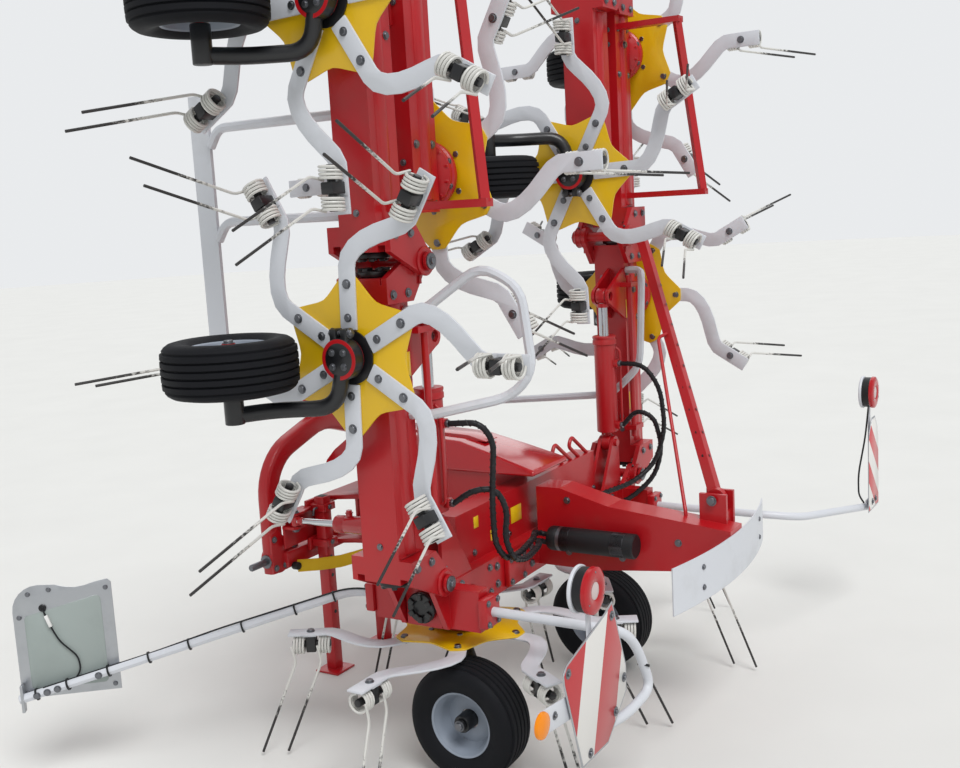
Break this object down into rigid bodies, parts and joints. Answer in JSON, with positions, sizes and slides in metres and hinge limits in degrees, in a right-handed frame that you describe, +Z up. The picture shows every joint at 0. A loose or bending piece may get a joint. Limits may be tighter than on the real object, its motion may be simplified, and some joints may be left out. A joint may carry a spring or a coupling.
{
  "type": "folded mounted rotary hay tedder",
  "caption": "Three-point mounted hay tedder folded upright for the road, with tined rotors, ground wheels, folding sections, swivel headstock and warning boards.",
  "frame": {"origin": "on the ground, below the middle of the folded machine's outline", "axes": "+X to the machine's right, +Y forward towards the tractor, +Z up"},
  "size_m": [2.99, 2.2572, 3.2743],
  "materials": {
    "red_paint": "gloss",
    "yellow_paint": "satin",
    "white_paint": "satin",
    "black_paint": "satin",
    "black_plastic": "matte",
    "bright_steel": "polished",
    "tyre_rubber": "matte",
    "board_sheet": "satin"
  },
  "bodies": {
    "root": {"centre_frame": "red_paint", "rear_beam": "red_paint", "gearbox": "red_paint", "hood": "red_paint", "rear_plate": "white_paint", "canister": "black_plastic", "centre_legs": "black_paint", "board_arm_front_left": "white_paint", "board_arm_front_right": "white_paint", "board_arm_rear_left": "white_paint", "board_arm_rear_right": "white_paint", "board_front_left": "board_sheet", "board_front_right": "board_sheet", "board_rear_left": "board_sheet", "board_rear_right": "board_sheet"},
    "headstock": {"headstock": "red_paint"},
    "section_2_right": {"section_2_right": "red_paint", "guard_right": "white_paint"},
    "section_3_right": {"section_3_right": "red_paint"},
    "section_4_right": {"section_4_right": "red_paint"},
    "fold_barrel_right": {"fold_barrel_right": "red_paint"},
    "fold_rod_right": {"fold_rod_right": "bright_steel"},
    "stand_right": {"stand_right": "red_paint"},
    "damper_barrel_right": {"damper_barrel_right": "red_paint"},
    "damper_rod_right": {"damper_rod_right": "bright_steel"},
    "rotor_1_right": {"rotor_plate_1_right": "yellow_paint", "tine_arms_1_right": "white_paint"},
    "wheel_1_right": {"wheel_1_right": "tyre_rubber"},
    "rotor_2_right": {"rotor_plate_2_right": "yellow_paint", "tine_arms_2_right": "white_paint"},
    "wheel_2_right": {"wheel_2_right": "tyre_rubber"},
    "rotor_3_right": {"rotor_plate_3_right": "yellow_paint", "tine_arms_3_right": "white_paint"},
    "wheel_3_right": {"wheel_3_right": "tyre_rubber"},
    "rotor_4_right": {"rotor_plate_4_right": "yellow_paint", "tine_arms_4_right": "white_paint"},
    "wheel_4_right": {"wheel_4_right": "tyre_rubber"},
    "section_2_left": {"section_2_left": "red_paint", "guard_left": "white_paint"},
    "section_3_left": {"section_3_left": "red_paint", "guard_left_front": "white_paint"},
    "section_4_left": {"section_4_left": "red_paint"},
    "fold_barrel_left": {"fold_barrel_left": "red_paint"},
    "fold_rod_left": {"fold_rod_left": "bright_steel"},
    "stand_left": {"stand_left": "red_paint"},
    "damper_barrel_left": {"damper_barrel_left": "red_paint"},
    "damper_rod_left": {"damper_rod_left": "bright_steel"},
    "rotor_1_left": {"rotor_plate_1_left": "yellow_paint", "tine_arms_1_left": "white_paint"},
    "wheel_1_left": {"wheel_1_left": "tyre_rubber"},
    "rotor_2_left": {"rotor_plate_2_left": "yellow_paint", "tine_arms_2_left": "white_paint"},
    "wheel_2_left": {"wheel_2_left": "tyre_rubber"},
    "rotor_3_left": {"rotor_plate_3_left": "yellow_paint", "tine_arms_3_left": "white_paint"},
    "wheel_3_left": {"wheel_3_left": "tyre_rubber"},
    "rotor_4_left": {"rotor_plate_4_left": "yellow_paint", "tine_arms_4_left": "white_paint"},
    "wheel_4_left": {"wheel_4_left": "tyre_rubber"}
  },
  "joints": [
    {"name": "headstock_swivel", "type": "hinge", "parent": "root", "child": "headstock", "pos_m": [0, 0.56637, 0.64], "axis": [0, 0, 1], "range_deg": [-15, 15]},
    {"name": "fold_1_right", "type": "hinge", "parent": "root", "child": "section_2_right", "pos_m": [0.795, -0.11363, 0.7], "axis": [0, 1, 0], "range_deg": [0, 90]},
    {"name": "level_2_right", "type": "hinge", "parent": "section_2_right", "child": "section_3_right", "pos_m": [0.795, -0.11363, 1.75], "axis": [0, 1, 0], "range_deg": [-4, 6]},
    {"name": "fold_3_right", "type": "hinge", "parent": "section_3_right", "child": "section_4_right", "pos_m": [0.795, -0.11363, 2.8], "axis": [0, 1, 0], "range_deg": [0, 180]},
    {"name": "cylinder_tilt_right", "type": "hinge", "parent": "root", "child": "fold_barrel_right", "pos_m": [0.69, -0.14363, 0.86], "axis": [0, 1, 0], "range_deg": [0, 93.6]},
    {"name": "cylinder_stroke_right", "type": "slide", "parent": "fold_barrel_right", "child": "fold_rod_right", "axis": [0, 0, 1], "range_m": [0, 0.268]},
    {"name": "stand_lift_right", "type": "slide", "parent": "headstock", "child": "stand_right", "axis": [0, 0, 1], "range_m": [0, 0.35]},
    {"name": "damper_turn_right", "type": "hinge", "parent": "root", "child": "damper_barrel_right", "pos_m": [0.265, 0.21637, 0.69], "axis": [0, 0, 1], "range_deg": [-8, 8]},
    {"name": "damper_stroke_right", "type": "slide", "parent": "damper_barrel_right", "child": "damper_rod_right", "axis": [0.1219, 0.9925, 0], "range_m": [-0.082, 0.082]},
    {"name": "spin_1_right", "type": "hinge", "parent": "root", "child": "rotor_1_right", "pos_m": [0.525, -0.11363, 0.45], "axis": [0, 0, 1], "continuous": true},
    {"name": "roll_1_right", "type": "hinge", "parent": "root", "child": "wheel_1_right", "pos_m": [0.325, -0.25363, 0.205], "axis": [1, 0, 0], "continuous": true},
    {"name": "spin_2_right", "type": "hinge", "parent": "section_2_right", "child": "rotor_2_right", "pos_m": [1.045, -0.11363, 1.48], "axis": [-1, 0, 0], "continuous": true},
    {"name": "roll_2_right", "type": "hinge", "parent": "section_2_right", "child": "wheel_2_right", "pos_m": [1.29, 0.15637, 1.48], "axis": [0, 0, 1], "continuous": true},
    {"name": "spin_3_right", "type": "hinge", "parent": "section_3_right", "child": "rotor_3_right", "pos_m": [1.045, -0.11363, 2.53], "axis": [-1, 0, 0], "continuous": true},
    {"name": "roll_3_right", "type": "hinge", "parent": "section_3_right", "child": "wheel_3_right", "pos_m": [1.29, 0.15637, 2.53], "axis": [0, 0, 1], "continuous": true},
    {"name": "spin_4_right", "type": "hinge", "parent": "section_4_right", "child": "rotor_4_right", "pos_m": [0.545, -0.11363, 2.02], "axis": [1, 0, 0], "continuous": true},
    {"name": "roll_4_right", "type": "hinge", "parent": "section_4_right", "child": "wheel_4_right", "pos_m": [0.3, 0.15637, 2.02], "axis": [0, 0, 1], "continuous": true},
    {"name": "fold_1_left", "type": "hinge", "parent": "root", "child": "section_2_left", "pos_m": [-0.795, -0.11363, 0.7], "axis": [0, -1, 0], "range_deg": [0, 90]},
    {"name": "level_2_left", "type": "hinge", "parent": "section_2_left", "child": "section_3_left", "pos_m": [-0.795, -0.11363, 1.75], "axis": [0, -1, 0], "range_deg": [-4, 6]},
    {"name": "fold_3_left", "type": "hinge", "parent": "section_3_left", "child": "section_4_left", "pos_m": [-0.795, -0.11363, 2.8], "axis": [0, -1, 0], "range_deg": [0, 180]},
    {"name": "cylinder_tilt_left", "type": "hinge", "parent": "root", "child": "fold_barrel_left", "pos_m": [-0.69, -0.14363, 0.86], "axis": [0, -1, 0], "range_deg": [0, 93.6]},
    {"name": "cylinder_stroke_left", "type": "slide", "parent": "fold_barrel_left", "child": "fold_rod_left", "axis": [0, 0, 1], "range_m": [0, 0.268]},
    {"name": "stand_lift_left", "type": "slide", "parent": "headstock", "child": "stand_left", "axis": [0, 0, 1], "range_m": [0, 0.35]},
    {"name": "damper_turn_left", "type": "hinge", "parent": "root", "child": "damper_barrel_left", "pos_m": [-0.265, 0.21637, 0.69], "axis": [0, 0, 1], "range_deg": [-8, 8]},
    {"name": "damper_stroke_left", "type": "slide", "parent": "damper_barrel_left", "child": "damper_rod_left", "axis": [-0.1219, 0.9925, 0], "range_m": [-0.082, 0.082]},
    {"name": "spin_1_left", "type": "hinge", "parent": "root", "child": "rotor_1_left", "pos_m": [-0.525, -0.11363, 0.45], "axis": [0, 0, 1], "continuous": true},
    {"name": "roll_1_left", "type": "hinge", "parent": "root", "child": "wheel_1_left", "pos_m": [-0.725, -0.25363, 0.205], "axis": [1, 0, 0], "continuous": true},
    {"name": "spin_2_left", "type": "hinge", "parent": "section_2_left", "child": "rotor_2_left", "pos_m": [-1.045, -0.11363, 1.48], "axis": [1, 0, 0], "continuous": true},
    {"name": "roll_2_left", "type": "hinge", "parent": "section_2_left", "child": "wheel_2_left", "pos_m": [-1.29, 0.15637, 1.48], "axis": [0, 0, 1], "continuous": true},
    {"name": "spin_3_left", "type": "hinge", "parent": "section_3_left", "child": "rotor_3_left", "pos_m": [-1.045, -0.11363, 2.53], "axis": [1, 0, 0], "continuous": true},
    {"name": "roll_3_left", "type": "hinge", "parent": "section_3_left", "child": "wheel_3_left", "pos_m": [-1.29, 0.15637, 2.53], "axis": [0, 0, 1], "continuous": true},
    {"name": "spin_4_left", "type": "hinge", "parent": "section_4_left", "child": "rotor_4_left", "pos_m": [-0.545, -0.11363, 2.02], "axis": [-1, 0, 0], "continuous": true},
    {"name": "roll_4_left", "type": "hinge", "parent": "section_4_left", "child": "wheel_4_left", "pos_m": [-0.3, 0.15637, 2.02], "axis": [0, 0, 1], "continuous": true}
  ],
  "couplings": [
    {"joint": "fold_3_right", "follows": "fold_1_right", "ratio": 2},
    {"joint": "cylinder_tilt_right", "follows": "fold_1_right", "ratio": 1.0387},
    {"joint": "cylinder_stroke_right", "follows": "fold_1_right", "m_per_rad": 0.16998},
    {"joint": "damper_turn_right", "follows": "headstock_swivel", "ratio": 0.451},
    {"joint": "damper_stroke_right", "follows": "headstock_swivel", "m_per_rad": 0.306},
    {"joint": "spin_2_right", "follows": "spin_1_right", "ratio": -1},
    {"joint": "spin_3_right", "follows": "spin_1_right", "ratio": 1},
    {"joint": "spin_4_right", "follows": "spin_1_right", "ratio": -1},
    {"joint": "fold_3_left", "follows": "fold_1_right", "ratio": 2},
    {"joint": "fold_1_left", "follows": "fold_1_right", "ratio": 1},
    {"joint": "cylinder_tilt_left", "follows": "fold_1_right", "ratio": 1.0387},
    {"joint": "cylinder_stroke_left", "follows": "fold_1_right", "m_per_rad": 0.16998},
    {"joint": "damper_turn_left", "follows": "headstock_swivel", "ratio": 0.451},
    {"joint": "damper_stroke_left", "follows": "headstock_swivel", "m_per_rad": -0.306},
    {"joint": "spin_1_left", "follows": "spin_1_right", "ratio": -1},
    {"joint": "spin_2_left", "follows": "spin_1_right", "ratio": 1},
    {"joint": "spin_3_left", "follows": "spin_1_right", "ratio": -1},
    {"joint": "spin_4_left", "follows": "spin_1_right", "ratio": 1}
  ]
}
